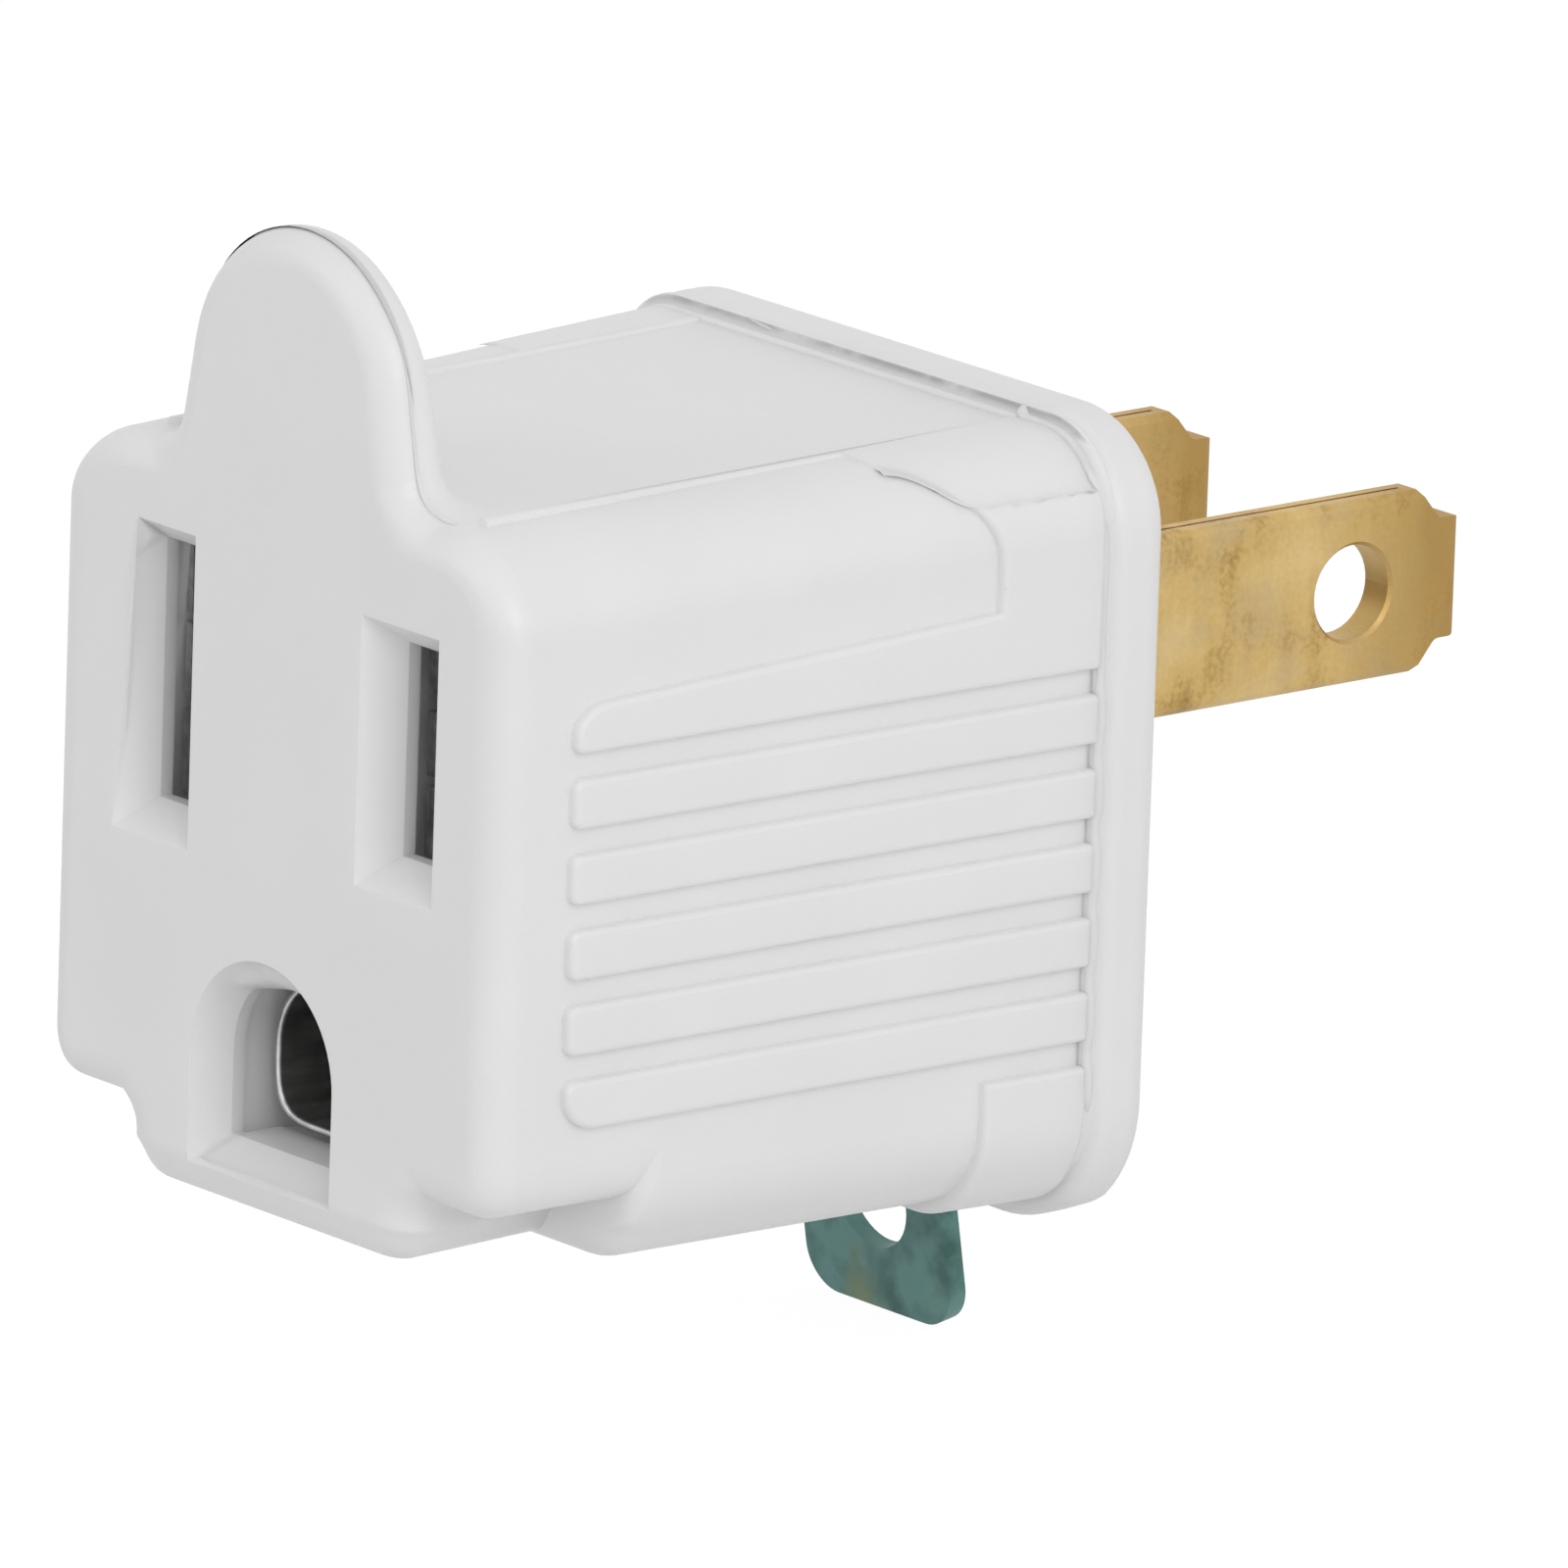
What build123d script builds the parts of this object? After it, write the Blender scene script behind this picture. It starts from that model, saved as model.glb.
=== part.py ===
"""Grounding plug adapter: a three-prong socket body on two folded brass blades, with a
green ground lug under it. Millimetres. X is right and Z is up, both seen from the socket
face. Y runs from the socket face to the wall, and Y = 0 is the face that meets the wall."""

import os

from build123d import *

# Blades, to the household pattern: centres, height, thickness and the hole near the tip.
blade_x = 6.35
blade_height = 6.35
blade_thickness = 1.4
blade_length = 18.25
blade_hole_y = 13.45
blade_hole_radius = 1.65
blade_edge_chamfer = 0.25
blade_tail_y = -6.8
fold_seam_width = 0.14
fold_seam_depth = 0.2
fold_rounding = 0.5
tip_half_height = 2.1
tip_slope_start = 1.95
tip_slope_end = 1.05
tip_corner = 0.4

# Body, measured at the socket face and at the seam in front of the flange.
face_y = -27.5
seam_y = -3.0
face_half_width = 11.7
seam_half_width = 12.6
face_top = 8.45
seam_top = 8.75
face_bottom = -16.9
seam_bottom = -17.4
face_top_corner = 3.6
seam_top_corner = 3.0
bottom_corner = 3.2
face_rounding = 1.2
wall = 1.8
fill_gap = 0.05

# The notches that leave the ground hole on a bump of its own.
notch_roof = -14.35
notch_end_y = -21.2
bump_half_width = 6.6
notch_corner = 0.9
notch_rounding = 0.9
jaw_corner = 1.5
bump_corner = 1.35

# Pull tab.
tab_radius = 5.25
tab_centre_z = 11.85
tab_foot_half_width = 5.6
tab_thickness = 2.45
tab_rounding = 0.95
tab_foot_rounding = 1.3

# Grip ribs and the raised band behind them.
rib_height = 0.45
rib_width = 1.68
rib_pitch = 2.555
rib_count = 6
first_rib_bottom = 1.0
rib_front_y = -24.4
band_front_y = -7.15
band_corner = 3.4
band_foot_z = -12.65
rib_end_corner = 0.35
rib_soft_corner = 1.2
rib_edge_rounding = 0.2
ridge_x = 9.0
ridge_radius = 0.3
ridge_sink = 0.14
ridge_front_y = -25.6

# Slots and ground hole: outer bevel size and the straight opening behind it.
slot_outer_width = 4.0
slot_inner_width = 2.4
neutral_slot_height = 10.8
line_slot_height = 9.15
slot_height_loss = 1.9
slot_z = -0.15
bevel_depth = 1.4
front_wall = 1.9
ground_z = -12.1
ground_half_width = 3.72
ground_bottom = -16.1
ground_top = -8.45
ground_inner_half_width = 3.15
ground_inner_bottom = -15.2
ground_inner_top = -9.1

# Chambers inside the housing, and the plate that closes them from behind.
chamber_width = 4.4
neutral_chamber_height = 11.0
line_chamber_height = 9.6
chamber_wall = 1.0
tower_outer_x = 11.0
ground_chamber_half_width = 3.35
ground_chamber_bottom = -15.4
ground_chamber_top = -8.7
retainer_front_y = -8.6
retainer_back_y = -7.2
cup_radius = 2.7
cup_depth_y = -5.4
cup_wall = 0.6

# Flange of the rear base, and the bead of flash in front of it.
flange_half_width = 13.1
flange_top = 9.1
flange_bottom = -19.3
flange_front_y = -2.55
flange_top_corner = 4.0
flange_bottom_corner = 5.0
flange_rear_rounding = 1.1
flange_front_rounding = 0.7
bead_growth = 0.25
bead_back_y = -2.3
bead_rounding = 0.2
lug_notch_half_width = 4.6
lug_notch_corner = 1.0

# Spring clips behind the slots.
spring_thickness = 0.4
mouth_half_gap = 1.3
pinch_half_gap = 0.6
mouth_y = -25.0
pinch_y = -21.5
spring_root_y = -15.0
spring_bridge_y = -11.8
spring_tail_y = -2.2
spring_tail_height = 4.6
neutral_spring_height = 9.0
line_spring_height = 7.6
spring_slit = 0.35
slit_end_y = -16.0

# Ground sleeve with its tongue, and the strap that ends in the lug.
sleeve_inner_radius = 2.3
sleeve_outer_radius = 2.7
sleeve_front_y = -24.8
sleeve_back_y = -13.0
sleeve_seam = 0.5
tongue_half_width = 1.5
tongue_thickness = 0.4
tongue_top_z = -4.8
strap_thickness = 0.7
strap_half_width = 2.8
strap_top_z = -4.4
lug_half_width = 3.75
lug_face_y = -1.55
lug_bend_z = -17.2
lug_length = 7.45
lug_lean = 9.7
lug_hole_drop = 3.35
lug_hole_radius = 1.85
lug_corner = 1.5

# Rivets.
rivet_radius = 0.9
rivet_head_radius = 1.5
rivet_head = 0.5
blade_rivet_y = -4.6
ground_rivet_z = -7.0


def section_plane(y):
    """Plane square to Y at this depth, seen from the socket side: across is X, up is Z."""
    return Plane.XZ.offset(-y)


def between(y, at_face, at_seam):
    """A size that grows evenly from the socket face to the seam."""
    return at_face + (at_seam - at_face) * (y - face_y) / (seam_y - face_y)


def rounded_section(y, half_width, top, bottom, top_corner, low_corner):
    """Upright rectangle with rounded corners, square to Y."""
    with BuildSketch(section_plane(y)) as section:
        with Locations((0, (top + bottom) / 2)):
            Rectangle(2 * half_width, top - bottom)
        fillet(section.vertices().sort_by(Axis.Y)[2:], top_corner)
        fillet(section.vertices().sort_by(Axis.Y)[:2], low_corner)
    return section.sketch


def body_section(y, growth=0.0, foot=None, low_corner=bottom_corner):
    """Outline of the body at one depth, a little larger or smaller by the growth."""
    bottom = between(y, face_bottom, seam_bottom) if foot is None else foot
    return rounded_section(
        y,
        between(y, face_half_width, seam_half_width) + growth,
        between(y, face_top, seam_top) + growth,
        bottom - growth,
        between(y, face_top_corner, seam_top_corner) + growth,
        low_corner + growth,
    )


def hole_section(y, half_width, bottom, top):
    """D-shaped outline of the ground hole: flat at the bottom, arched at the top."""
    with BuildSketch(section_plane(y)) as section:
        arch_z = top - half_width
        with Locations((0, (bottom + arch_z) / 2)):
            Rectangle(2 * half_width, arch_z - bottom)
        with Locations((0, arch_z)):
            Circle(half_width)
    return section.sketch


def slot_section(y, x, width, height):
    """Plain upright slot outline."""
    with BuildSketch(section_plane(y)) as section:
        with Locations((x, slot_z)):
            Rectangle(width, height)
    return section.sketch


# Side view of the ribs and of the raised band. It is cut from a slightly larger copy of the
# body, so that the ribs keep one height on the drafted side.
with BuildSketch(Plane.YZ) as grip_view:
    with BuildLine():
        band_top_z = seam_top - 0.35
        RadiusArc(
            (band_front_y - band_corner, band_top_z),
            (band_front_y, band_top_z - band_corner),
            band_corner,
        )
        Polyline(
            (band_front_y, band_top_z - band_corner),
            (band_front_y, first_rib_bottom),
            (seam_y, first_rib_bottom),
            (seam_y, seam_top + 1),
            (band_front_y - band_corner, seam_top + 1),
            (band_front_y - band_corner, band_top_z),
        )
    make_face()
    for rib in range(rib_count):
        rib_end_y = band_front_y + 1 if rib == 0 else seam_y
        rib_middle_z = first_rib_bottom - rib * rib_pitch + rib_width / 2
        with Locations(((rib_front_y + rib_end_y) / 2, rib_middle_z)):
            Rectangle(rib_end_y - rib_front_y, rib_width)
    with Locations(((band_front_y + seam_y) / 2, (band_foot_z + seam_bottom - 1) / 2)):
        Rectangle(seam_y - band_front_y, band_foot_z - seam_bottom + 1)
    rib_ends = grip_view.vertices().group_by(Axis.X)[0].sort_by(Axis.Y)
    fillet(rib_ends[1:-1], rib_end_corner)
    rib_ends = grip_view.vertices().group_by(Axis.X)[0].sort_by(Axis.Y)
    fillet([rib_ends[0], rib_ends[-1]], rib_soft_corner)

with BuildPart() as grip:
    loft(sections=[body_section(face_y, rib_height), body_section(seam_y, rib_height)])
    extrude(grip_view.sketch, amount=seam_half_width + 2, both=True, mode=Mode.INTERSECT)
    with Locations((0, -15, 6)):
        Box(2 * ridge_x, 30, 8, mode=Mode.SUBTRACT)
    crest_edges = grip.edges().filter_by(
        lambda edge: rib_front_y - 0.1 < edge.center().Y < seam_y - 0.01
        and abs(edge.center().X) > between(edge.center().Y, face_half_width, seam_half_width) + 0.3
    )
    fillet(crest_edges, rib_edge_rounding)

# The rear half of the body reaches lower than the front, and its lower front edge is soft.
with BuildPart() as heel:
    loft(sections=[body_section(notch_end_y), body_section(seam_y)])
    fillet(heel.edges().group_by(Axis.Y)[0], notch_rounding)

# Pull tab: an arched plate, flush with the socket face.
with BuildPart() as tab:
    with BuildSketch(section_plane(face_y)) as tab_view:
        with BuildLine():
            tab_foot_z = face_top - 1.5
            ThreePointArc(
                (-tab_radius, tab_centre_z), (0, tab_centre_z + tab_radius), (tab_radius, tab_centre_z)
            )
            Polyline(
                (tab_radius, tab_centre_z),
                (tab_foot_half_width, tab_foot_z),
                (-tab_foot_half_width, tab_foot_z),
                (-tab_radius, tab_centre_z),
            )
        make_face()
    extrude(amount=-tab_thickness)
    rear_rim = tab.edges().group_by(Axis.Y)[-1]
    fillet(rear_rim.filter_by(lambda edge: edge.center().Z > tab_foot_z + 0.5), tab_rounding)

# Front housing: the upper block, the bump of the ground hole and the rear half in one.
with BuildPart() as front_housing:
    loft(sections=[
        body_section(face_y, foot=notch_roof, low_corner=jaw_corner),
        body_section(seam_y, foot=notch_roof, low_corner=jaw_corner),
    ])
    with BuildSketch(section_plane(face_y)) as bump_view:
        with Locations((0, face_bottom)):
            Rectangle(2 * bump_half_width, 8, align=(Align.CENTER, Align.MIN))
        fillet(bump_view.vertices().sort_by(Axis.Y)[:2], bump_corner)
    extrude(amount=face_y - notch_end_y - 1)
    armpits = front_housing.edges().filter_by(
        lambda edge: abs(abs(edge.center().X) - bump_half_width) < 0.1
        and abs(edge.center().Z - notch_roof) < 0.1
    )
    fillet(armpits, notch_corner)
    add(heel)
    add(tab)
    foot_edges = front_housing.edges().filter_by(
        lambda edge: abs(edge.center().X) < tab_foot_half_width + 0.3
        and face_top - 1.4 < edge.center().Z < face_top + 0.3
        and face_y + 0.05 < edge.center().Y < face_y + tab_thickness + 0.1
    )
    fillet(foot_edges, tab_foot_rounding)
    # One rounding runs round the whole front outline, the tab's included.
    fillet(front_housing.edges().group_by(Axis.Y)[0], face_rounding)
    add(grip)
    # Thin raised line between the top panel and each side.
    ridge_rise = between(seam_y, face_top, seam_top) - between(ridge_front_y, face_top, seam_top)
    ridge_run = seam_y - ridge_front_y - 0.01
    for x in (-ridge_x, ridge_x):
        ridge_start = (x, ridge_front_y, between(ridge_front_y, face_top, seam_top) - ridge_sink)
        with BuildSketch(Plane(origin=ridge_start, x_dir=(1, 0, 0), z_dir=(0, ridge_run, ridge_rise))):
            Circle(ridge_radius)
        extrude(amount=ridge_run)
    # Hollow from the rear, then towers for the three contact chambers.
    inner_face_y = face_y + front_wall
    loft(
        sections=[
            body_section(inner_face_y, -wall, foot=notch_roof, low_corner=wall + 1),
            body_section(seam_y, -wall, foot=notch_roof, low_corner=wall + 1),
        ],
        mode=Mode.SUBTRACT,
    )
    loft(sections=[body_section(notch_end_y + wall, -wall), body_section(seam_y, -wall)],
         mode=Mode.SUBTRACT)
    with BuildSketch(section_plane(inner_face_y)) as towers:
        tower_inner_x = blade_x - chamber_width / 2 - chamber_wall
        tower_height = neutral_chamber_height + 2 * chamber_wall
        with Locations((-(tower_inner_x + tower_outer_x) / 2, slot_z),
                       ((tower_inner_x + tower_outer_x) / 2, slot_z)):
            Rectangle(tower_outer_x - tower_inner_x, tower_height)
        with Locations((0, (ground_chamber_top + ground_chamber_bottom) / 2)):
            Rectangle(2 * ground_chamber_half_width + 2 * chamber_wall,
                      ground_chamber_top - ground_chamber_bottom + 2 * chamber_wall)
    extrude(amount=inner_face_y - retainer_front_y)
    for x, outer_height, chamber_height in (
        (-blade_x, neutral_slot_height, neutral_chamber_height),
        (blade_x, line_slot_height, line_chamber_height),
    ):
        inner_height = outer_height - slot_height_loss
        loft(
            sections=[
                slot_section(face_y, x, slot_outer_width, outer_height),
                slot_section(face_y + bevel_depth, x, slot_inner_width, inner_height),
            ],
            mode=Mode.SUBTRACT,
        )
        extrude(slot_section(face_y + bevel_depth, x, slot_inner_width, inner_height),
                amount=-front_wall, mode=Mode.SUBTRACT)
        extrude(slot_section(inner_face_y, x, chamber_width, chamber_height),
                amount=inner_face_y - retainer_front_y, mode=Mode.SUBTRACT)
    ground_mouth = hole_section(
        face_y + bevel_depth, ground_inner_half_width, ground_inner_bottom, ground_inner_top
    )
    loft(
        sections=[
            hole_section(face_y, ground_half_width, ground_bottom, ground_top),
            ground_mouth,
        ],
        mode=Mode.SUBTRACT,
    )
    extrude(ground_mouth, amount=-front_wall, mode=Mode.SUBTRACT)
    extrude(
        hole_section(inner_face_y, ground_chamber_half_width, ground_chamber_bottom, ground_chamber_top),
        amount=inner_face_y - retainer_front_y,
        mode=Mode.SUBTRACT,
    )


def make_blade(x):
    """A brass strip folded at its tip, so that both long edges show the seam of two layers."""
    half = blade_height / 2
    with BuildPart() as blade:
        with BuildSketch(Plane.YZ.offset(x - blade_thickness / 2)) as blade_view:
            with BuildLine():
                Polyline(
                    (blade_tail_y, -half),
                    (blade_length - tip_slope_start, -half),
                    (blade_length - tip_slope_end, -tip_half_height),
                    (blade_length, -tip_half_height),
                    (blade_length, tip_half_height),
                    (blade_length - tip_slope_end, tip_half_height),
                    (blade_length - tip_slope_start, half),
                    (blade_tail_y, half),
                    close=True,
                )
            make_face()
            fillet(blade_view.vertices().group_by(Axis.X)[-1], tip_corner)
            fillet(blade_view.vertices().filter_by(
                lambda corner: abs(corner.X - blade_length + tip_slope_end) < 0.01), tip_corner)
            with Locations((blade_hole_y, 0)):
                Circle(blade_hole_radius, mode=Mode.SUBTRACT)
            with Locations((blade_rivet_y, 0)):
                Circle(rivet_radius, mode=Mode.SUBTRACT)
        extrude(amount=blade_thickness)
        with BuildSketch(Plane.XY) as fold_view:
            with Locations((x, blade_length)):
                Rectangle(blade_thickness, 2 * blade_length, align=(Align.CENTER, Align.MAX))
            fillet(fold_view.vertices().group_by(Axis.Y)[-1], fold_rounding)
        extrude(amount=blade_height, both=True, mode=Mode.INTERSECT)
        long_edges = blade.edges().filter_by(Axis.Y).filter_by(
            lambda edge: abs(abs(edge.center().Z) - half) < 0.01
        )
        chamfer(long_edges, blade_edge_chamfer)
        hole_rims = blade.edges().filter_by(GeomType.CIRCLE).filter_by(
            lambda edge: abs(edge.arc_center.Y - blade_hole_y) < 0.01
        )
        chamfer(hole_rims, blade_edge_chamfer / 2)
        seam_end = blade_length - tip_slope_start - 0.4
        with Locations((x, seam_end / 2, half), (x, seam_end / 2, -half)):
            Box(fold_seam_width, seam_end, 2 * fold_seam_depth, mode=Mode.SUBTRACT)
    return blade.part


def make_spring_clip(x, height):
    """Two sprung leaves joined by a bridge over the top. The inner leaf runs back as a tail
    that lies on the blade and is riveted to it."""
    inward = -1 if x > 0 else 1
    rest = blade_thickness / 2 + spring_thickness / 2
    top = slot_z + height / 2
    with BuildPart() as clip:
        with BuildSketch(Plane.XY.offset(slot_z)):
            for way in (inward, -inward):
                with BuildLine() as leaf:
                    FilletPolyline(
                        (x + way * mouth_half_gap, mouth_y),
                        (x + way * pinch_half_gap, pinch_y),
                        (x + way * rest, spring_root_y),
                        (x + way * rest, spring_bridge_y),
                        radius=1.2,
                    )
                trace(line_width=spring_thickness)
        extrude(amount=height / 2, both=True)
        with Locations((x, (spring_root_y + spring_bridge_y) / 2, top - spring_thickness / 2)):
            Box(2 * rest + spring_thickness, spring_bridge_y - spring_root_y, spring_thickness)
        slit_length = slit_end_y - mouth_y + 1
        slit_step = height / 3
        with Locations(
            (x, slit_end_y - slit_length / 2, slot_z + slit_step / 2),
            (x, slit_end_y - slit_length / 2, slot_z - slit_step / 2),
        ):
            Box(2 * mouth_half_gap + 2, slit_length, spring_slit, mode=Mode.SUBTRACT)
        tail_length = spring_tail_y - spring_bridge_y + 1
        with Locations((x + inward * rest, spring_tail_y - tail_length / 2, 0)):
            Box(spring_thickness, tail_length, spring_tail_height)
        with Locations(Location((x + inward * rest, blade_rivet_y, 0), (0, 90, 0))):
            Cylinder(rivet_radius, 2, mode=Mode.SUBTRACT)
    return clip.part


neutral_blade = make_blade(-blade_x)
line_blade = make_blade(blade_x)
neutral_contact = make_spring_clip(-blade_x, neutral_spring_height)
line_contact = make_spring_clip(blade_x, line_spring_height)

# Ground sleeve: strip rolled round the pin, with an open seam on its hidden side and a
# tongue that runs back through the end of the cup and turns up against the strap.
with BuildPart() as ground_sleeve:
    with BuildSketch(section_plane(sleeve_front_y)):
        with Locations((0, ground_z)):
            Circle(sleeve_outer_radius)
            Circle(sleeve_inner_radius, mode=Mode.SUBTRACT)
            with Locations((sleeve_outer_radius, 0)):
                Rectangle(2 * sleeve_outer_radius - 2, sleeve_seam, mode=Mode.SUBTRACT)
    extrude(amount=sleeve_front_y - sleeve_back_y)
    sleeve_rim = ground_sleeve.edges().group_by(Axis.Y)[0].filter_by(GeomType.CIRCLE)
    fillet(sleeve_rim, spring_thickness * 0.4)
    tongue_z = ground_z + sleeve_outer_radius
    tongue_end_y = lug_face_y
    with BuildSketch(Plane.YZ):
        with BuildLine():
            FilletPolyline(
                (sleeve_back_y - 3, tongue_z - tongue_thickness / 2),
                (tongue_end_y - tongue_thickness / 2, tongue_z - tongue_thickness / 2),
                (tongue_end_y - tongue_thickness / 2, tongue_top_z),
                radius=0.8,
            )
        trace(line_width=tongue_thickness)
    extrude(amount=tongue_half_width, both=True)
    with Locations((0, (sleeve_front_y + sleeve_back_y) / 2, ground_z)):
        Cylinder(sleeve_inner_radius, sleeve_back_y - sleeve_front_y + 1, rotation=(90, 0, 0),
                 mode=Mode.SUBTRACT)
    with Locations((0, tongue_end_y, ground_rivet_z)):
        Cylinder(rivet_radius, 2, rotation=(90, 0, 0), mode=Mode.SUBTRACT)

# Ground lug: one strap, upright inside the rear base and leaning back below it.
with BuildPart() as ground_lug:
    with BuildSketch(Plane.XZ.offset(-lug_face_y)) as strap_view:
        with Locations((0, lug_bend_z)):
            Rectangle(2 * strap_half_width, strap_top_z - lug_bend_z, align=(Align.CENTER, Align.MIN))
        fillet(strap_view.vertices().group_by(Axis.Y)[-1], lug_corner)
        with Locations((0, ground_rivet_z)):
            Circle(rivet_radius, mode=Mode.SUBTRACT)
    extrude(amount=-strap_thickness)
    lug_plane = Plane(
        origin=(0, lug_face_y, lug_bend_z), x_dir=(1, 0, 0), z_dir=(0, -1, 0)
    ).rotated((lug_lean, 0, 0))
    with BuildSketch(lug_plane) as lug_view:
        Rectangle(2 * lug_half_width, lug_length, align=(Align.CENTER, Align.MAX))
        fillet(lug_view.vertices().group_by(Axis.Y)[0], lug_corner)
        with Locations((0, -lug_hole_drop)):
            Circle(lug_hole_radius, mode=Mode.SUBTRACT)
    extrude(amount=-strap_thickness)

# Rivets: one through each blade and the tail of its clip, one through strap and tongue.
with BuildPart() as blade_rivets:
    for x in (-blade_x, blade_x):
        inward = -1 if x > 0 else 1
        stack = blade_thickness + spring_thickness
        stack_centre = x + inward * spring_thickness / 2
        with Locations(Location((stack_centre, blade_rivet_y, 0), (0, 90, 0))):
            Cylinder(rivet_radius, stack)
        for way in (-1, 1):
            head_x = stack_centre + way * (stack + rivet_head) / 2
            with Locations(Location((head_x, blade_rivet_y, 0), (0, 90, 0))):
                Cylinder(rivet_head_radius, rivet_head)
    head_rims = blade_rivets.edges().filter_by(GeomType.CIRCLE).filter_by(
        lambda edge: abs(edge.radius - rivet_head_radius) < 0.01
    ).group_by(Axis.X)
    chamfer(head_rims[0] + head_rims[3] + head_rims[4] + head_rims[-1], rivet_head / 2)

with BuildPart() as ground_rivet:
    grip_length = strap_thickness + tongue_thickness
    grip_centre_y = lug_face_y + (strap_thickness - tongue_thickness) / 2
    with Locations((0, grip_centre_y, ground_rivet_z)):
        Cylinder(rivet_radius, grip_length, rotation=(90, 0, 0))
    for way in (-1, 1):
        with Locations((0, grip_centre_y + way * (grip_length + rivet_head) / 2, ground_rivet_z)):
            Cylinder(rivet_head_radius, rivet_head, rotation=(90, 0, 0))

# Retainer: plate across the body with a cup for the end of the ground pin.
with BuildPart() as contact_retainer:
    loft(sections=[
        body_section(retainer_front_y, -wall - fill_gap),
        body_section(retainer_back_y, -wall - fill_gap),
    ])
    with BuildSketch(section_plane(retainer_back_y)):
        with Locations((0, ground_z)):
            Circle(cup_radius + cup_wall)
    extrude(amount=retainer_back_y - cup_depth_y - cup_wall)
    with BuildSketch(section_plane(retainer_front_y)):
        with Locations((0, ground_z)):
            Circle(cup_radius)
    extrude(amount=retainer_front_y - cup_depth_y, mode=Mode.SUBTRACT)
    add(neutral_contact, mode=Mode.SUBTRACT)
    add(line_contact, mode=Mode.SUBTRACT)
    add(ground_sleeve, mode=Mode.SUBTRACT)

# Flange, rounded at the front and more at the back.
with BuildPart() as flange:
    with BuildSketch(section_plane(flange_front_y)):
        add(rounded_section(flange_front_y, flange_half_width, flange_top, flange_bottom,
                            flange_top_corner, flange_bottom_corner))
    extrude(amount=flange_front_y)
    fillet(flange.edges().group_by(Axis.Y)[-1], flange_rear_rounding)
    fillet(flange.edges().group_by(Axis.Y)[0], flange_front_rounding)

# Rear base: moulded on from behind. It fills the rear of the housing round all the metal
# and ends in the rounded flange.
with BuildPart() as rear_base:
    loft(sections=[
        body_section(retainer_back_y, -wall - fill_gap),
        body_section(seam_y, -wall - fill_gap),
    ])
    with BuildSketch(section_plane(retainer_back_y)):
        with Locations((0, ground_z)):
            Circle(cup_radius)
    extrude(amount=retainer_back_y - cup_depth_y, mode=Mode.SUBTRACT)
    with BuildSketch(section_plane(seam_y)):
        add(body_section(seam_y, bead_growth))
    extrude(amount=seam_y - bead_back_y)
    bead_edges = rear_base.edges().group_by(Axis.Y)[-1] + rear_base.edges().filter_by(
        lambda edge: abs(edge.center().Y - seam_y) < 0.01
        and (abs(edge.center().X) > seam_half_width - 0.5
             or edge.center().Z > seam_top - 0.5 or edge.center().Z < seam_bottom + 0.5)
    )
    fillet(bead_edges, bead_rounding)
    add(flange)
    with BuildSketch(section_plane(seam_y)) as lug_notch:
        with Locations((0, seam_bottom)):
            Rectangle(2 * lug_notch_half_width, 6, align=(Align.CENTER, Align.MAX))
        fillet(lug_notch.vertices().group_by(Axis.Y)[-1], lug_notch_corner)
    extrude(amount=seam_y - 1, mode=Mode.SUBTRACT)
    for metal in (neutral_blade, line_blade, neutral_contact, line_contact):
        add(metal, mode=Mode.SUBTRACT)
    for holder in (ground_sleeve, ground_lug, blade_rivets, ground_rivet, contact_retainer):
        add(holder, mode=Mode.SUBTRACT)

os.makedirs("parts", exist_ok=True)
for solid, name in (
    (front_housing.part, "front_housing"),
    (rear_base.part, "rear_base"),
    (contact_retainer.part, "contact_retainer"),
    (neutral_blade, "neutral_blade"),
    (line_blade, "line_blade"),
    (neutral_contact, "neutral_contact"),
    (line_contact, "line_contact"),
    (ground_sleeve.part, "ground_sleeve"),
    (ground_lug.part, "ground_lug"),
    (blade_rivets.part, "blade_rivets"),
    (ground_rivet.part, "ground_rivet"),
):
    solid.label = name
    export_step(solid, f"parts/{name}.step")
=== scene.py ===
import math

import bmesh
import bpy
from mathutils import Matrix, Vector


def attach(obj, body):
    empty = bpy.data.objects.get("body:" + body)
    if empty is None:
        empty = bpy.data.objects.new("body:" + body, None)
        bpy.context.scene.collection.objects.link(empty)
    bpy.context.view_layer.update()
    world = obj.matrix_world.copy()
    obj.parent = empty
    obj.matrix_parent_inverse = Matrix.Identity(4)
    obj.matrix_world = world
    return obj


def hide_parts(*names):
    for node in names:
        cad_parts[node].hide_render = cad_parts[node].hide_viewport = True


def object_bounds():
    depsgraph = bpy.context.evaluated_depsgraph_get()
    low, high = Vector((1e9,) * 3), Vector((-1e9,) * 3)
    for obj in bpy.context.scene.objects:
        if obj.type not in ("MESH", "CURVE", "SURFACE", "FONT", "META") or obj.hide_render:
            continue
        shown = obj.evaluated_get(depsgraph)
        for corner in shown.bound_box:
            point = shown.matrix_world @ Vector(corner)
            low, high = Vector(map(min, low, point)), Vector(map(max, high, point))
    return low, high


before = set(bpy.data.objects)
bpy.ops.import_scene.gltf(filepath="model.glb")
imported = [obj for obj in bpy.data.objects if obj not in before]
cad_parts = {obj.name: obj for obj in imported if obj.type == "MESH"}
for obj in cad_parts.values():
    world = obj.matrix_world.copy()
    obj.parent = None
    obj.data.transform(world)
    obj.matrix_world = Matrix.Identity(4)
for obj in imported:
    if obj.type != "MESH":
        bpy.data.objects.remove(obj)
cad_low, cad_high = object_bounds()

# Shared steps. Field writes the maths of a material, and reshape makes the skin of a piece
# whose real form departs a little from its solid.


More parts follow.
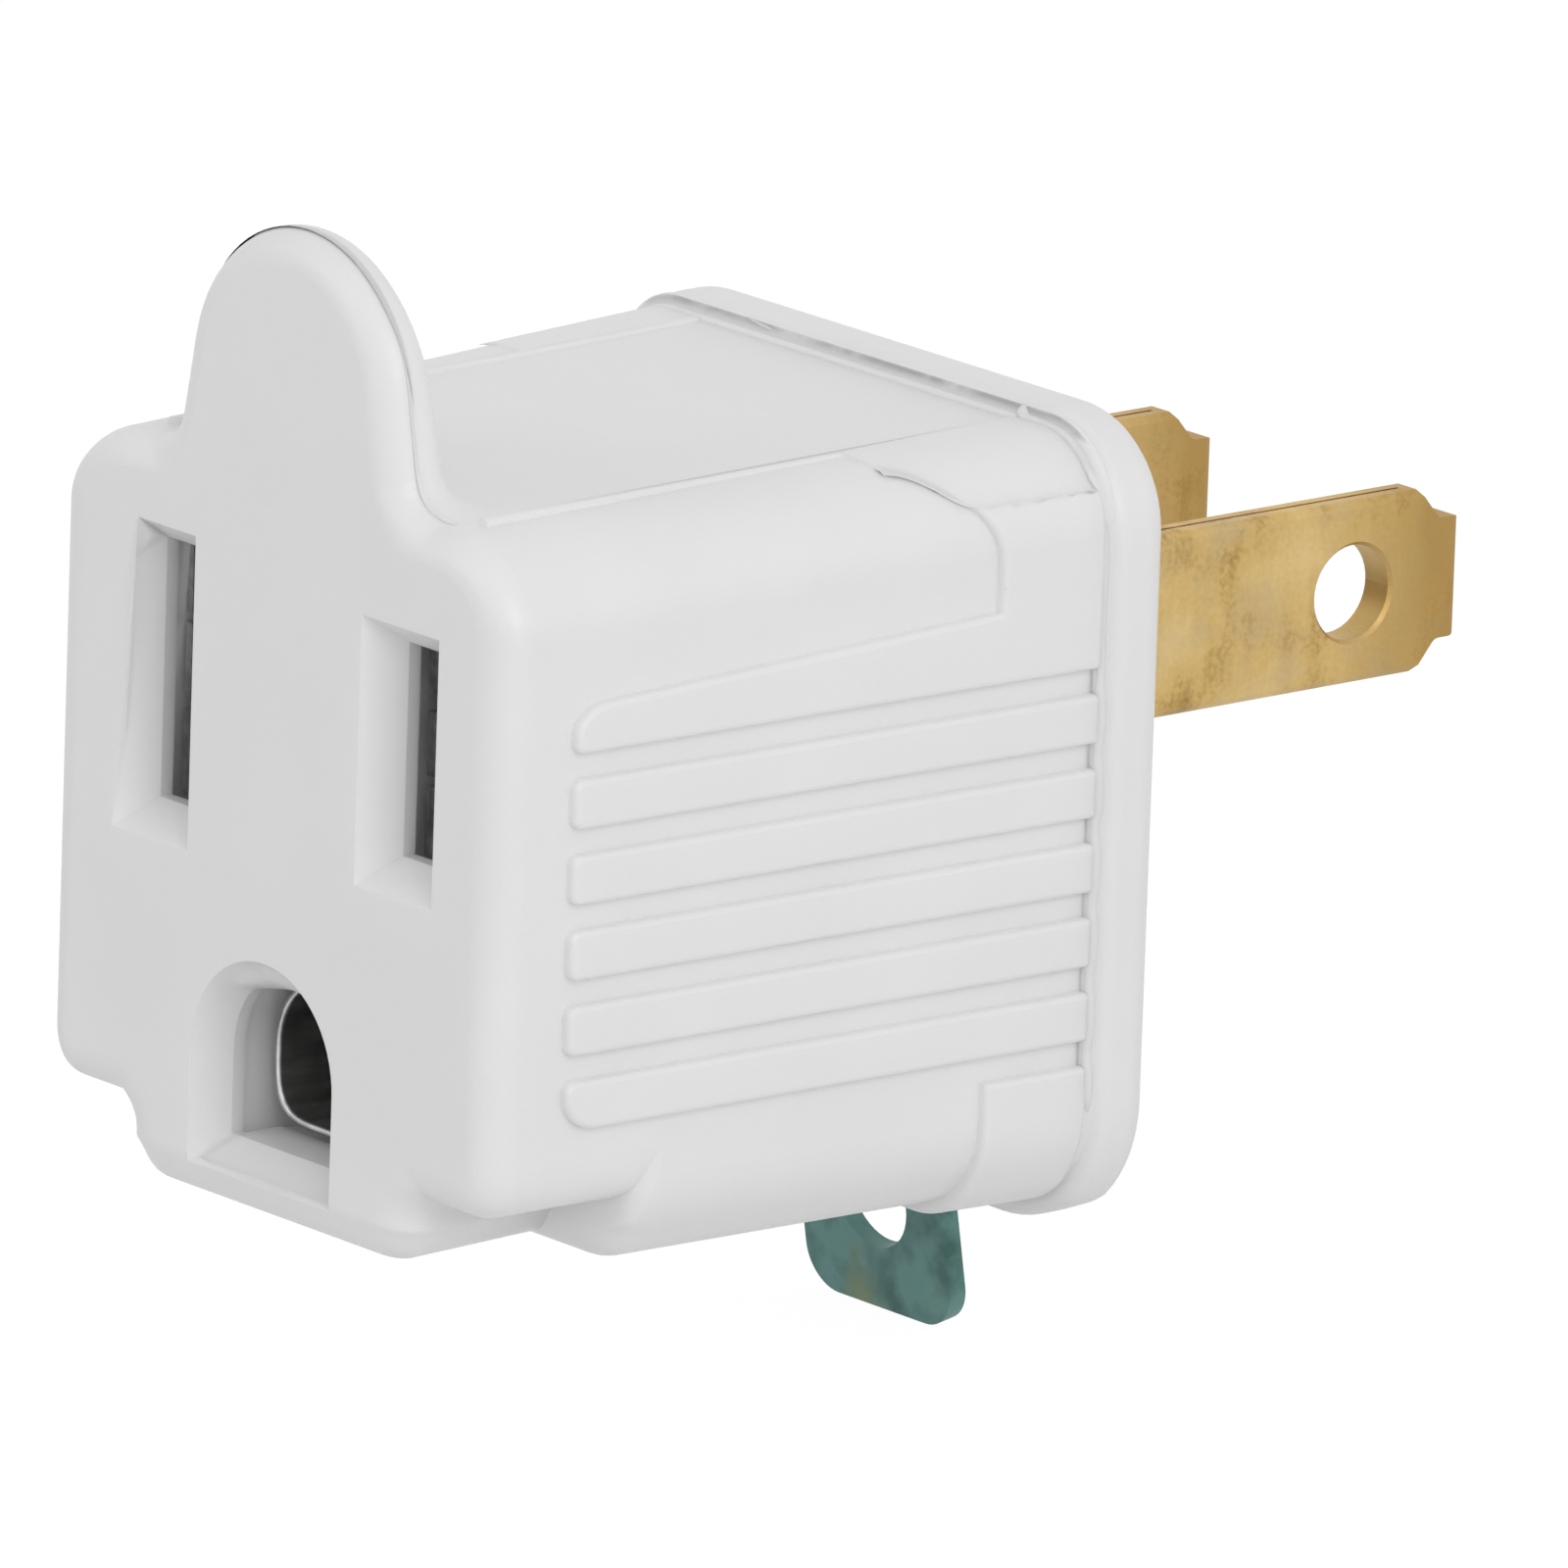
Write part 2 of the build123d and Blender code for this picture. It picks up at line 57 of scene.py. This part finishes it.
class Field:
    """One value in a material. An expression such as (1 - mask) * grain adds its Math nodes."""

    def __init__(self, tree, socket=None):
        self.tree = tree
        self.socket = socket

    def node(self, kind, settings, sockets, output=0):
        """Adds a node, sets it up, fills or links its sockets and hands back one output."""
        made = self.tree.nodes.new("ShaderNode" + kind)
        for name, value in settings.items():
            if name == "stops":
                while len(made.color_ramp.elements) < len(value):
                    made.color_ramp.elements.new(1.0)
                for element, (place, tone) in zip(made.color_ramp.elements, value):
                    element.position = place
                    element.color = tone
            else:
                setattr(made, name, value)
        for name, value in sockets.items():
            if isinstance(value, Field):
                self.tree.links.new(value.socket, made.inputs[name])
            else:
                made.inputs[name].default_value = value
        return Field(self.tree, made.outputs[output] if made.outputs else None)

    def maths(self, operation, first, second):
        return self.node("Math", {"operation": operation}, {0: first, 1: second})

    def __add__(self, other):
        return self.maths("ADD", self, other)

    def __radd__(self, other):
        return self.maths("ADD", other, self)

    def __sub__(self, other):
        return self.maths("SUBTRACT", self, other)

    def __rsub__(self, other):
        return self.maths("SUBTRACT", other, self)

    def __mul__(self, other):
        return self.maths("MULTIPLY", self, other)

    def __rmul__(self, other):
        return self.maths("MULTIPLY", other, self)

    def ramp(self, *stops):
        """A smooth run of colours or greys over this value."""
        return self.node("ValToRGB", {"stops": stops}, {"Fac": self})

    def step(self, low, high):
        """0 below low, 1 above high and even between."""
        return self.node("MapRange", {}, {"Value": self, "From Min": low, "From Max": high})

    def blend(self, under, over):
        """The colour under, and over it the other one where this value is 1."""
        return self.node("Mix", {"data_type": "RGBA"}, {0: self, 6: under, 7: over}, 2)


def start_material(name):
    """A new material with a principled shader. Hands back the material, the shader's node,
    and the object's own coordinates in metres."""
    material = bpy.data.materials.new(name)
    material.use_nodes = True
    shader = material.node_tree.nodes["Principled BSDF"]
    coords = Field(material.node_tree).node("TexCoord", {}, {}, "Object")
    return material, shader, coords


def feed(shader, name, value):
    """Links a varying value to one of the shader's sockets."""
    value.tree.links.new(value.socket, shader.inputs[name])


def noise(coords, size, detail=3.0, stretch=(1.0, 1.0, 1.0)):
    """Soft noise with features of about this size in metres, longer where stretch is larger."""
    scale = tuple(1 / (size * along) for along in stretch)
    placed = coords.node("Mapping", {}, {"Vector": coords, "Scale": scale})
    return placed.node("TexNoise", {}, {"Vector": placed, "Scale": 1.0, "Detail": detail})


def dress(node, material):
    """Gives a CAD node its finished material."""
    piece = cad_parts[node]
    piece.data.materials.clear()
    piece.data.materials.append(material)


def smooth(value, low, high):
    """An even S from 0 at low to 1 at high."""
    part = min(max((value - low) / (high - low), 0.0), 1.0)
    return part * part * (3 - 2 * part)


probe = 0.02


def reshape(node, bend, material):
    """A skin that stands for a CAD node: a copy of its mesh, each point put where bend, in
    millimetres, says. Two more points, a probe away, show how the surface turns, and its
    normals turn with it."""
    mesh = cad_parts[node].data.copy()
    mesh.name = node + "_skin"
    places = [vertex.co * 1000 for vertex in mesh.vertices]
    bent = [bend(*place) for place in places]
    normals = []
    for loop, corner in zip(mesh.loops, mesh.corner_normals):
        normal = corner.vector
        across = normal.orthogonal().normalized()
        along = normal.cross(across)
        place = places[loop.vertex_index]
        here = bent[loop.vertex_index]
        aside = bend(*(place + across * probe)) - here
        ahead = bend(*(place + along * probe)) - here
        normals.append(aside.cross(ahead).normalized())
    for vertex, place in zip(mesh.vertices, bent):
        vertex.co = place / 1000
    mesh.update()
    mesh.normals_split_custom_set(normals)
    mesh.materials.clear()
    mesh.materials.append(material)
    piece = bpy.data.objects.new(node + "_skin", mesh)
    bpy.context.scene.collection.objects.link(piece)
    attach(piece, "root")
    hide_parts(node)


# Blades. Each is a strip of half-hard brass folded back on itself at the tip, so that two
# layers show as a seam along the long edges. The brass is bare, and handling, rolling and
# tarnish have left it mottled, and browner towards the tip.
brass_light = (0.72, 0.54, 0.25, 1)
brass_plain = (0.62, 0.43, 0.165, 1)
brass_dark = (0.36, 0.225, 0.07, 1)
brass_grey = (0.50, 0.41, 0.26, 1)
brass_brown = (0.40, 0.245, 0.07, 1)
brass, shader, coords = start_material("rolled_brass")
tarnish = noise(coords, 0.0036, 8.0)
streaks = noise(coords, 0.0009, 5.0, (1.0, 1.0, 5.0))
grains = noise(coords, 0.0002, 3.0)
tone = tarnish * 0.6 + streaks * 0.22 + grains * 0.18
colour = tone.ramp((0.36, brass_dark), (0.47, brass_plain), (0.62, brass_light))
greyed = noise(coords, 0.0021, 6.0).step(0.5, 0.75)
colour = (greyed * 0.45).blend(colour, brass_grey)
tip_reach = coords.node("SeparateXYZ", {}, {"Vector": coords}, 1)
browned = (tip_reach + 0.006 * tarnish).step(0.0155, 0.0205)
colour = (browned * 0.8).blend(colour, brass_brown)
feed(shader, "Base Color", colour)
feed(shader, "Roughness", 0.34 + 0.3 * tone)
height = grains * 0.5 + streaks * 0.5
relief = {"Height": height, "Strength": 0.35, "Distance": 0.00006}
feed(shader, "Normal", height.node("Bump", {}, relief))
shader.inputs["Metallic"].default_value = 1.0
dress("neutral_blade", brass)
dress("line_blade", brass)

# Rivets. Small turned brass rivets that hold the clips to the blades and the strap to the
# tongue of the ground sleeve. They are set before the rear base is moulded round them.
rivet_brass, shader, coords = start_material("rivet_brass")
turned = noise(coords, 0.0004, 3.0)
feed(shader, "Base Color", turned.ramp((0.3, brass_dark), (0.7, brass_plain)))
feed(shader, "Roughness", 0.3 + 0.2 * turned)
shader.inputs["Metallic"].default_value = 1.0
dress("blade_rivets", rivet_brass)
dress("ground_rivet", rivet_brass)

# Spring clips and ground sleeve. Tin-plated spring strip, pressed and bent, seen as grey
# leaves inside the slots and as a bright rim inside the ground hole. The sleeve's mouth is
# squared off below, thin in its wall and set a little to one side. Sizes are in millimetres.
tin_light = (0.72, 0.72, 0.71, 1)
tin_dull = (0.42, 0.42, 0.42, 1)
spring_tin, shader, coords = start_material("tinned_spring_strip")
rolled = noise(coords, 0.0009, 4.0, (1.0, 5.0, 1.0))
feed(shader, "Base Color", rolled.ramp((0.3, tin_dull), (0.65, tin_light)))
feed(shader, "Roughness", 0.28 + 0.2 * rolled)
shader.inputs["Metallic"].default_value = 1.0
dress("neutral_contact", spring_tin)
dress("line_contact", spring_tin)
sleeve_z = -12.1
sleeve_radius = 2.7
mouth_radius = 2.62
mouth_wall_share = 0.6
mouth_squareness = 4
mouth_shift = -0.2
mouth_full_y = -21.5
mouth_end_y = -18.0


def bend_sleeve(x, y, z):
    reach = math.hypot(x, z - sleeve_z)
    mouth = 1 - smooth(y, mouth_full_y, mouth_end_y)
    if mouth == 0 or reach < 1:
        return Vector((x, y, z))
    growth = (mouth_radius - mouth_wall_share * (sleeve_radius - reach)) / reach
    if z < sleeve_z:
        across = (x / reach) ** mouth_squareness
        upright = ((z - sleeve_z) / reach) ** mouth_squareness
        growth /= (across + upright) ** (1 / mouth_squareness)
    growth = 1 + (growth - 1) * mouth
    return Vector((x * growth + mouth_shift * mouth, y, (z - sleeve_z) * growth + sleeve_z))


reshape("ground_sleeve", bend_sleeve, spring_tin)

# Ground lug. Steel strip with a thin green coat, worn on its edges, with darker and olive
# patches where the coat pooled.
coat_green = (0.122, 0.268, 0.250, 1)
coat_dark = (0.045, 0.125, 0.115, 1)
coat_olive = (0.180, 0.250, 0.150, 1)
green_coat, shader, coords = start_material("green_coated_steel")
pools = noise(coords, 0.0020, 8.0)
olive = noise(coords, 0.0042, 5.0, (1.0, 1.0, 1.4))
colour = pools.ramp((0.36, coat_dark), (0.55, coat_green))
colour = olive.step(0.52, 0.68).blend(colour, coat_olive)
feed(shader, "Base Color", colour)
feed(shader, "Roughness", 0.35 + 0.25 * pools)
relief = {"Height": pools, "Strength": 0.2, "Distance": 0.0001}
feed(shader, "Normal", pools.node("Bump", {}, relief))
shader.inputs["Metallic"].default_value = 0.45
dress("ground_lug", green_coat)

# Housing, retainer and rear base. White thermoplastic from polished and lightly grained
# tools, with a satin skin that is a little uneven where the melt flowed and sank. Broken
# grey lines of painted shade stand for the narrow gap at the flange's joint, and a few
# specks of dirt lie on the white.
white_skin = (0.885, 0.885, 0.885, 1)
white_deep = (0.865, 0.865, 0.865, 1)
# The first grey below is painted shade for the narrow gap at the flange's joint.
painted_gap_shade_grey = (0.30, 0.30, 0.30, 1)
speck_grey = (0.22, 0.22, 0.21, 1)
white_plastic, shader, coords = start_material("white_moulding")
flow = noise(coords, 0.006, 4.0)
skin = noise(coords, 0.00028, 2.0)
colour = flow.ramp((0.35, white_deep), (0.65, white_skin))
depth = coords.node("SeparateXYZ", {}, {"Vector": coords}, 1)
level = coords.node("SeparateXYZ", {}, {"Vector": coords}, 2)
top_side = level.step(0.0083, 0.00845)
# Painted shade: thin broken grey lines along the flange joint on the top and the sides, darkening
# the narrow gap there.
gap_shade_break = noise(coords, 0.0018, 3.0).step(0.3, 0.55)
top_gap_painted_shade = depth.step(-0.00276, -0.00262) * (1 - depth.step(-0.00256, -0.00252)) * top_side
side_gap_painted_shade = depth.step(-0.00311, -0.00303) * (1 - depth.step(-0.003, -0.00298)) * (1 - top_side)
gap_painted_shade = (top_gap_painted_shade + side_gap_painted_shade * 0.35) * (0.35 + 0.65 * gap_shade_break) * 0.75
colour = gap_painted_shade.blend(colour, painted_gap_shade_grey)
specks = [  # x, y, z and radius, in millimetres
    (2.0, -2.6, 8.75, 0.09), (1.8, -2.56, 8.6, 0.10), (-5.95, -26.9, 8.2, 0.12),
    (6.15, -26.4, 8.25, 0.12), (12.1, -21.2, -4.2, 0.07), (12.3, -15.6, -6.7, 0.07),
    (12.9, -5.4, -9.4, 0.07),
]
for x, y, z, radius in specks:
    reach = coords.node("VectorMath", {"operation": "DISTANCE"},
                        {0: coords, 1: (x / 1000, y / 1000, z / 1000)}, 1)
    speck = 1 - (reach + 0.00012 * skin).step(radius * 0.0008, radius * 0.002)
    colour = (speck * 0.7).blend(colour, speck_grey)
feed(shader, "Base Color", colour)
feed(shader, "Roughness", 0.34 + 0.14 * flow)
skin_height = skin * 0.4 + flow * 0.6
relief = {"Height": skin_height, "Strength": 0.15, "Distance": 0.00012}
feed(shader, "Normal", skin.node("Bump", {}, relief))
shader.inputs["Specular IOR Level"].default_value = 0.45
shader.inputs["Subsurface Weight"].default_value = 0.25
shader.inputs["Subsurface Radius"].default_value = (1.0, 1.0, 1.0)
shader.inputs["Subsurface Scale"].default_value = 0.0012
dress("contact_retainer", white_plastic)

# Front housing. The real moulding departs from its solid by less than a millimetre: its top
# lies lower, its tab is squatter with slanting sides, the part below the slots is broader
# and deeper, and the first rib widens towards the flange. Sizes are in millimetres.
face_y = -27.5
body_depth = 24.5
face_top = 8.45
top_rise = 0.3
face_half_width = 11.7
half_width_gain = 0.9
face_corner = 3.6
corner_loss = 0.6
top_drop = 0.55
tab_squash = 0.0231
tab_thinning = 0.4
tab_widths = [(7.9, 0.125), (9.9, 0.083), (11.9, 0.037), (14.85, 0.017), (16.35, 0.012)]
ridge_turn = 0.25
band_front_y = -11.0
band_crest = 0.1
band_flattening = 0.95
notch_roof_drop = 0.45
bump_broadening = 0.85
bottom_drop = 0.35
bottom_drop_loss = 0.25
rib_lengthening = 0.3
first_rib_y = -24.7
first_rib_run = 17.8
first_rib_start = -0.13
first_rib_slant = 0.9
hole_shift = -0.2
hole_arch_drop = 0.5


def tab_growth(z):
    """How much wider the tab is than its CAD arch, as a share, at a height of the skin."""
    for (low, at_low), (high, at_high) in zip(tab_widths, tab_widths[1:]):
        if z < high:
            return at_low + (at_high - at_low) * max(z - low, 0) / (high - low)
    return tab_widths[-1][1]


def corner_fall(side, back):
    """How far the top corner has dropped at a distance from the middle."""
    corner = face_corner - corner_loss * back
    edge = face_half_width + half_width_gain * back - corner
    return corner - math.sqrt(corner ** 2 - min(max(side - edge, 0), corner) ** 2)


def bend_housing(x, y, z):
    side = abs(x)
    back = (y - face_y) / body_depth
    new_x, new_y, new_z = side, y, z
    # Top, tab, the line beside the top panel, and the crest of the band behind it.
    if z > 4.5:
        new_z -= (top_drop - top_rise * back) * smooth(z, 4.5, 8.0)
        new_z -= tab_squash * max(z - face_top, 0)
        tab = smooth(z, 7.0, 8.4) * (1 - smooth(y, -24.5, -22.5)) * (1 - smooth(side, 6.9, 9.3))
        new_x += tab * tab_growth(new_z) * side
        if -26.4 < y < -23.0:
            new_y -= tab_thinning * smooth(z, 9.0, 16.0)
        if z < 9.3 and side > 5.8:
            slide = smooth(side, 5.8, 8.7) * (1 - smooth(side, 9.3, 11.5))
            slid = side - (1 - ridge_turn * back) * slide
            fall = corner_fall(side, back)
            new_x += slid - side
            new_z += fall - corner_fall(slid, back)
            if y > band_front_y and side > 8.7:
                proud = z - (face_top + top_rise * back - fall)
                new_z -= band_flattening * max(proud - band_crest, 0) * smooth(z, 7.2, 8.2)
    # Notches, the bump between them, and the bottom.
    if z < -12.2:
        jaw = 1 - smooth(y, -21.3, -20.4)
        roof = smooth(-z, 12.2, 14.0) * (1 - smooth(-z, 15.2, 16.3))
        new_z -= notch_roof_drop * jaw * roof * smooth(side, 4.4, 6.4)
        broad = smooth(side, 4.4, 6.6) * (1 - smooth(side, 6.7, 8.6))
        new_x += bump_broadening * jaw * broad * smooth(-z, 13.0, 14.0)
        drop = bottom_drop - bottom_drop_loss * smooth(y, face_y, -6.0)
        new_z -= drop * smooth(-z, 16.12, 16.8)
    # Front ends of the ribs, and the slanting top of the first one.
    if side > 11.0 and -12.2 < z < 5.0:
        new_y -= rib_lengthening * (1 - smooth(y, -24.3, -20.0)) * smooth(y, -26.3, -24.5)
        slant = smooth(z, 1.7, 2.5) * (1 - smooth(z, 3.0, 4.8))
        new_z += slant * (first_rib_start + first_rib_slant * (y - first_rib_y) / first_rib_run)
    # Ground hole.
    near_hole = (1 - smooth(side, 3.9, 6.0)) * smooth(-z, 7.2, 8.2)
    shift = hole_shift * (1 - smooth(y, -24.0, -20.0)) * near_hole
    if -16.2 < z < -8.6 and side < 3.6:
        new_z -= hole_arch_drop * smooth(z, -10.2, -9.1) * smooth(y, -27.4, -26.4)
    return Vector((math.copysign(new_x, x) + shift, new_y, new_z))


reshape("front_housing", bend_housing, white_plastic)

# Rear base. Its bead lies lower on the top, and its flange ends a little higher below, than
# in the solid. Sizes are in millimetres.
bead_drop = 0.35
flange_lift = 0.35


def bend_base(x, y, z):
    bead = (1 - smooth(y, -2.75, -2.45)) * smooth(z, 5.0, 8.4)
    foot = smooth(-z, 17.6, 18.9) * smooth(-y, -3.1, 0.5)
    return Vector((x, y, z - bead_drop * bead + flange_lift * foot))


reshape("rear_base", bend_base, white_plastic)

# Flash and sill take the same white, without the housing's specks and joint lines.
flash_white, shader, coords = start_material("flash_white")
feed(shader, "Base Color", noise(coords, 0.006, 4.0).ramp((0.35, white_deep), (0.65, white_skin)))
shader.inputs["Roughness"].default_value = 0.42
shader.inputs["Subsurface Weight"].default_value = 0.25
shader.inputs["Subsurface Radius"].default_value = (1.0, 1.0, 1.0)
shader.inputs["Subsurface Scale"].default_value = 0.0012

# Flash. Thin lips of plastic squeezed out where the moulds met: a scalloped bead beside the
# ribs that ends in a curl on the flange, ragged lips along the flange's top edge, and a fine
# parting line down the side of the tab.
flash = bpy.data.objects.new("seam_flash", bpy.data.curves.new("seam_flash", "CURVE"))
bpy.context.scene.collection.objects.link(flash)
flash.data.dimensions = "3D"
flash.data.bevel_depth = 1.0
flash.data.bevel_resolution = 3
flash.data.use_fill_caps = True


def lay_flash(points):
    """A lip along points of x, y, z and half thickness, all in millimetres."""
    spline = flash.data.splines.new("NURBS")
    spline.points.add(len(points) - 1)
    for point, (x, y, z, half) in zip(spline.points, points):
        point.co = (x / 1000, y / 1000, z / 1000, 1)
        point.radius = half / 1000
    spline.order_u = 4
    spline.use_endpoint_u = True
    spline.resolution_u = 3


bead_y = -2.78
shoulder_x = 9.4
shoulder_z = 5.3
shoulder_radius = 3.36
rib_pitch = 2.555
groove_z = 0.56
bead_end_z = -14.6
curl_points = [(8.3, -2.4, 8.9, 0.1), (8.2, -2.52, 8.8, 0.22), (8.3, -2.66, 8.62, 0.28),
               (8.6, -2.78, 8.5, 0.24), (9.1, bead_y, 8.56, 0.19)]
bead_points = list(curl_points)
for turn in range(75, 0, -15):
    reach = shoulder_radius + 0.02 * math.sin(turn * 0.4)
    bead_points.append((shoulder_x + reach * math.cos(math.radians(turn)), bead_y,
                        shoulder_z + reach * math.sin(math.radians(turn)), 0.19))
for step in range(46):
    z = shoulder_z - step * rib_pitch / 6
    if z > groove_z + 0.4:
        swell = 0.15 + 0.15 * math.sin(z * 1.9)
    else:
        swell = abs(math.sin(math.pi * (z - groove_z) / rib_pitch)) ** 0.6
    bead_x = shoulder_x + shoulder_radius + 0.05 * swell
    bead_points.append((bead_x, bead_y, z, 0.16 + 0.09 * swell))
bead_points.append((shoulder_x + shoulder_radius - 0.1, bead_y + 0.2, bead_end_z, 0.05))
lay_flash(bead_points)
flange_lips = [
    [(-9.9, -2.5, 8.6, 0.08), (-9.45, -2.62, 8.78, 0.13), (-9.0, -2.68, 8.6, 0.12),
     (-8.6, -2.6, 8.5, 0.06)],
    [(-6.2, -2.5, 8.9, 0.04), (-5.2, -2.58, 8.82, 0.1), (-4.2, -2.62, 8.7, 0.1),
     (-3.2, -2.6, 8.62, 0.07)],
    [(-3.0, -2.5, 8.74, 0.06), (-2.95, -2.72, 8.62, 0.08), (-2.4, -2.82, 8.55, 0.08),
     (-1.5, -2.84, 8.52, 0.09), (-0.9, -2.8, 8.52, 0.08), (-0.7, -2.55, 8.62, 0.06)],
    [(0.0, -2.55, 8.62, 0.06), (0.5, -2.62, 8.72, 0.12), (1.0, -2.66, 8.62, 0.1),
     (1.6, -2.64, 8.66, 0.13), (2.2, -2.58, 8.6, 0.06)],
]
for lip in flange_lips:
    lay_flash(lip)
parting_y = -26.6
parting_radius = 5.47
tab_centre_z = 10.85
tab_points = []
for turn in range(62, 10, -10):
    tab_points.append((parting_radius * math.cos(math.radians(turn)), parting_y,
                       tab_centre_z + parting_radius * math.sin(math.radians(turn)), 0.06))
tab_points += [(5.56, parting_y, 10.9, 0.07), (5.76, parting_y, 9.9, 0.07),
               (5.98, parting_y, 9.0, 0.08), (6.3, -26.55, 8.4, 0.09), (6.75, -26.45, 8.05, 0.11),
               (7.5, -26.2, 7.93, 0.05)]
lay_flash(tab_points)
flash.data.materials.append(flash_white)
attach(flash, "root")

# Floor of the ground hole. The sill of the moulding that the ground pin slides over: it slopes
# in from the socket face and then runs level to the contact.
sill_low = -0.0160
sill_x = -0.0002
sill_sections = [  # y, height of the floor and half its width, in metres
    (-0.02722, -0.01592, 0.0034),
    (-0.0261, -0.01518, 0.0029),
    (-0.0242, -0.01518, 0.0029),
]
form = bmesh.new()
rings = []
for y, z, half in sill_sections:
    rings.append([form.verts.new((sill_x + way * half, y, height))
                  for way, height in ((-1, sill_low), (1, sill_low), (1, z), (-1, z))])
for near, far in zip(rings, rings[1:]):
    for corner in range(4):
        form.faces.new((near[corner], near[corner - 1], far[corner - 1], far[corner]))
form.faces.new(rings[0])
form.faces.new(reversed(rings[-1]))
bmesh.ops.recalc_face_normals(form, faces=form.faces)
sill = bpy.data.objects.new("ground_hole_sill", bpy.data.meshes.new("ground_hole_sill"))
form.to_mesh(sill.data)
form.free()
bpy.context.scene.collection.objects.link(sill)
sill.data.materials.append(flash_white)
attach(sill, "root")

# Camera. A long lens from the right of the socket face and a little above it, rolled by two
# degrees, as fitted to the blades, slots and flange in the photograph.
camera = bpy.data.objects.new("camera", bpy.data.cameras.new("camera"))
bpy.context.scene.collection.objects.link(camera)
camera_right = Vector((0.64253, 0.76556, 0.03284))
camera_up = Vector((-0.21666, 0.14040, 0.96610))
camera_back = camera_right.cross(camera_up)
camera.matrix_world = Matrix.Translation((0.60207, -0.51974, 0.20428)) @ Matrix(
    (camera_right, camera_up, camera_back)
).transposed().to_4x4()
camera.data.sensor_width = 36.0
camera.data.lens = 562.5
camera.data.clip_start = 0.05
camera.data.clip_end = 20.0
bpy.context.scene.camera = camera
bpy.context.scene.view_settings.view_transform = "Standard"

# Floor and light. A white sheet under the lug, a pale room and two large soft lamps, the
# stronger one on the right as in the photograph.
floor_z = cad_low.z - 0.00002
floor_half = 1.5
form = bmesh.new()
bmesh.ops.create_grid(form, x_segments=1, y_segments=1, size=floor_half)
bmesh.ops.translate(form, verts=form.verts, vec=(0, 0, floor_z))
floor = bpy.data.objects.new("floor", bpy.data.meshes.new("floor"))
form.to_mesh(floor.data)
form.free()
bpy.context.scene.collection.objects.link(floor)

sheet = bpy.data.materials.new("white_sheet")
sheet.use_nodes = True
sheet.node_tree.nodes.clear()
canvas = Field(sheet.node_tree)
paper = canvas.node("BsdfDiffuse", {}, {"Color": (0.8, 0.8, 0.8, 1)})
glow = canvas.node("Emission", {}, {"Color": (1, 1, 1, 1), "Strength": 1.07})
seen = (
    canvas.node("LightPath", {}, {}, "Is Camera Ray")
    + canvas.node("LightPath", {}, {}, "Is Glossy Ray")
    + canvas.node("LightPath", {}, {}, "Is Transmission Ray")
)
mixed = canvas.node("MixShader", {}, {0: seen * 0.9, 1: paper, 2: glow})
canvas.node("OutputMaterial", {}, {"Surface": mixed})
floor.data.materials.append(sheet)

room = bpy.data.worlds.new("pale_room")
room.use_nodes = True
room.node_tree.nodes.clear()
air = Field(room.node_tree)
seen = (
    air.node("LightPath", {}, {}, "Is Camera Ray")
    + air.node("LightPath", {}, {}, "Is Glossy Ray")
    + air.node("LightPath", {}, {}, "Is Transmission Ray")
)
ambient = air.node("Background", {}, {"Color": (1, 1, 1, 1), "Strength": 0.62})
backdrop = air.node("Background", {}, {"Color": (1, 1, 1, 1), "Strength": 1.0})
mixed = air.node("MixShader", {}, {0: seen, 1: ambient, 2: backdrop})
air.node("OutputWorld", {}, {"Surface": mixed})
bpy.context.scene.world = room


def hang_lamp(name, place, size, power):
    """A square soft lamp that faces the object."""
    lamp = bpy.data.objects.new(name, bpy.data.lights.new(name, "AREA"))
    lamp.data.size = size
    lamp.data.energy = power
    lamp.location = place
    lamp.rotation_euler = Vector(place).to_track_quat("Z", "Y").to_euler()
    bpy.context.scene.collection.objects.link(lamp)


hang_lamp("right_lamp", (0.72, -0.26, 0.36), 0.45, 1.9)
hang_lamp("left_lamp", (-0.35, -0.75, 0.45), 0.45, 0.62)
